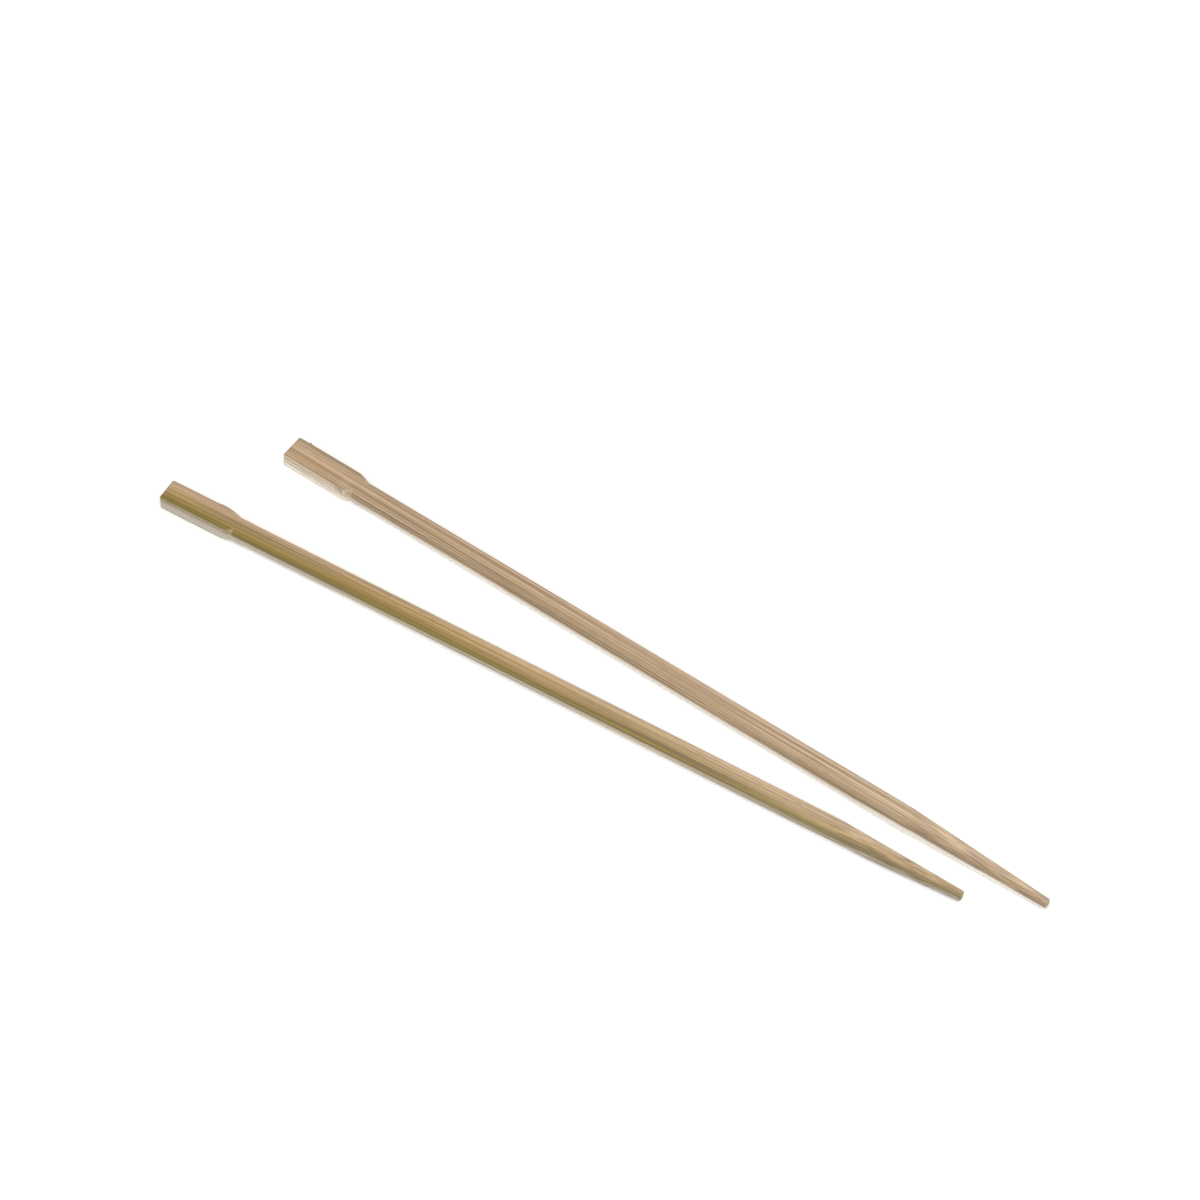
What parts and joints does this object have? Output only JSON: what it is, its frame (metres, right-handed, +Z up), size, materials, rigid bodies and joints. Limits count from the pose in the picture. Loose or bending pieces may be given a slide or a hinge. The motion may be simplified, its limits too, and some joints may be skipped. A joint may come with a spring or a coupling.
{
  "type": "bamboo chopsticks",
  "caption": "Split pair of disposable bamboo chopsticks with square heads, rounded shafts and tapered tips, lying in a narrow V.",
  "frame": {"origin": "middle of the pair's footprint, on the surface that both sticks lie on", "axes": "+X along the middle of the V from the heads to the tips, +Y across it towards the back stick, +Z up"},
  "size_m": [0.2268, 0.032, 0.004],
  "materials": {
    "skin_side_bamboo": "planed and tumbled bamboo, unvarnished, with a green-gold band left from the outer skin",
    "inner_bamboo": "planed and tumbled bamboo, unvarnished, with brown vascular streaks and a pale torn split face"
  },
  "bodies": {
    "root": {"chopstick_front": "skin_side_bamboo", "chopstick_back": "inner_bamboo"}
  },
  "joints": []
}
